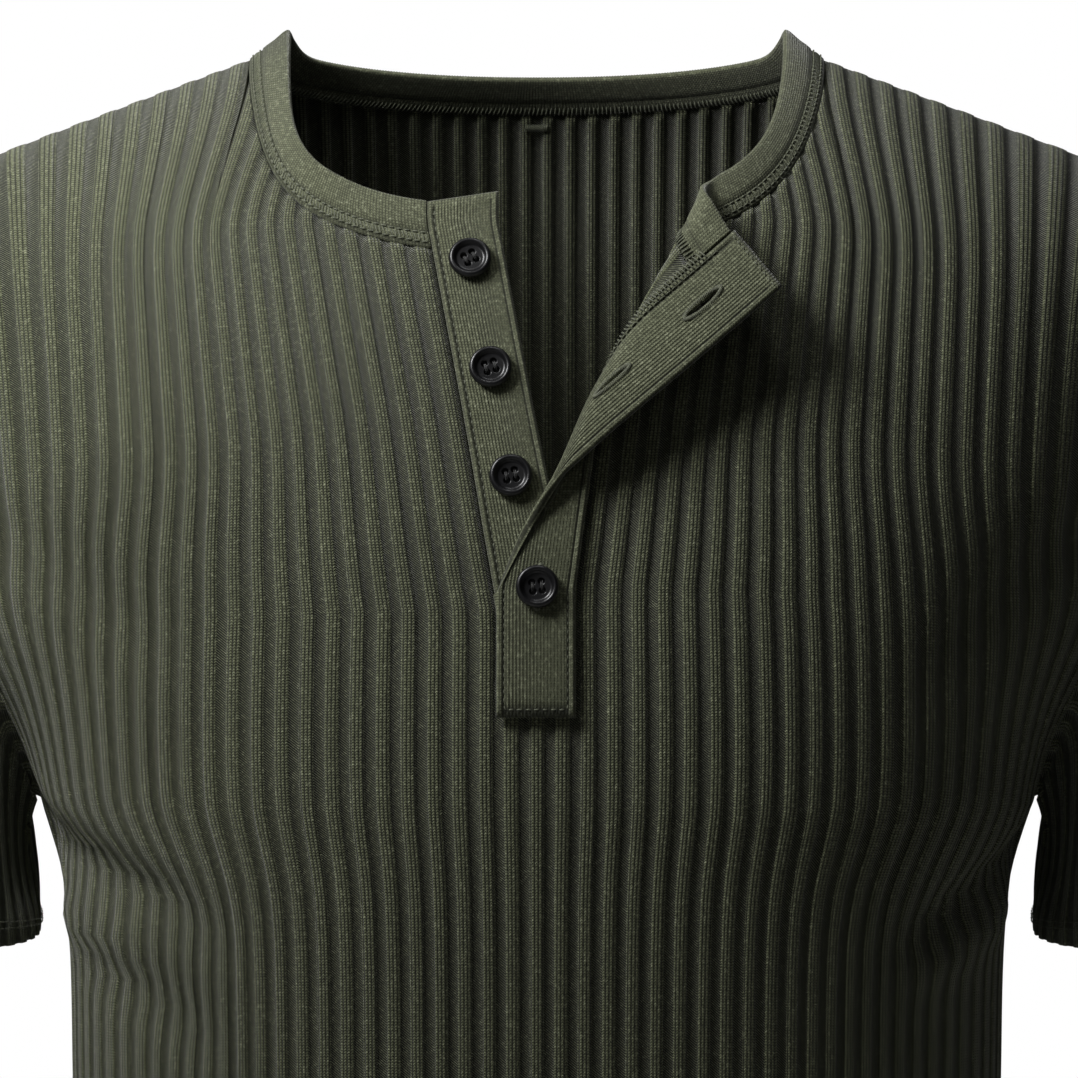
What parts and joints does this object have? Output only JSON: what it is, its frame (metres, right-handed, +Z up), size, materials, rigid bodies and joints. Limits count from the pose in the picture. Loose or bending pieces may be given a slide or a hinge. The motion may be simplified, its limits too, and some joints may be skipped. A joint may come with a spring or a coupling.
{
  "type": "short-sleeve henley shirt",
  "caption": "Worn-form short-sleeve henley in wide vertical rib knit, round neckband, buttoned placket open at the neck and turned over to one side.",
  "frame": {"origin": "midway between the two points where shoulder seam and neckline meet, where the shirt hangs on the shoulders", "axes": "+Z up, the front faces -Y, +X is the wearer's left"},
  "size_m": [0.548, 0.2359, 0.7],
  "materials": {
    "rib_knit": "matte",
    "placket_knit": "matte",
    "button_resin": "satin"
  },
  "bodies": {
    "root": {"front_panel": "rib_knit", "back_panel": "rib_knit", "sleeve_left": "rib_knit", "sleeve_right": "rib_knit", "neckband": "placket_knit", "button_placket": "placket_knit", "buttonhole_placket": "placket_knit", "button_1": "button_resin", "button_2": "button_resin", "button_3": "button_resin", "button_4": "button_resin"}
  },
  "joints": []
}
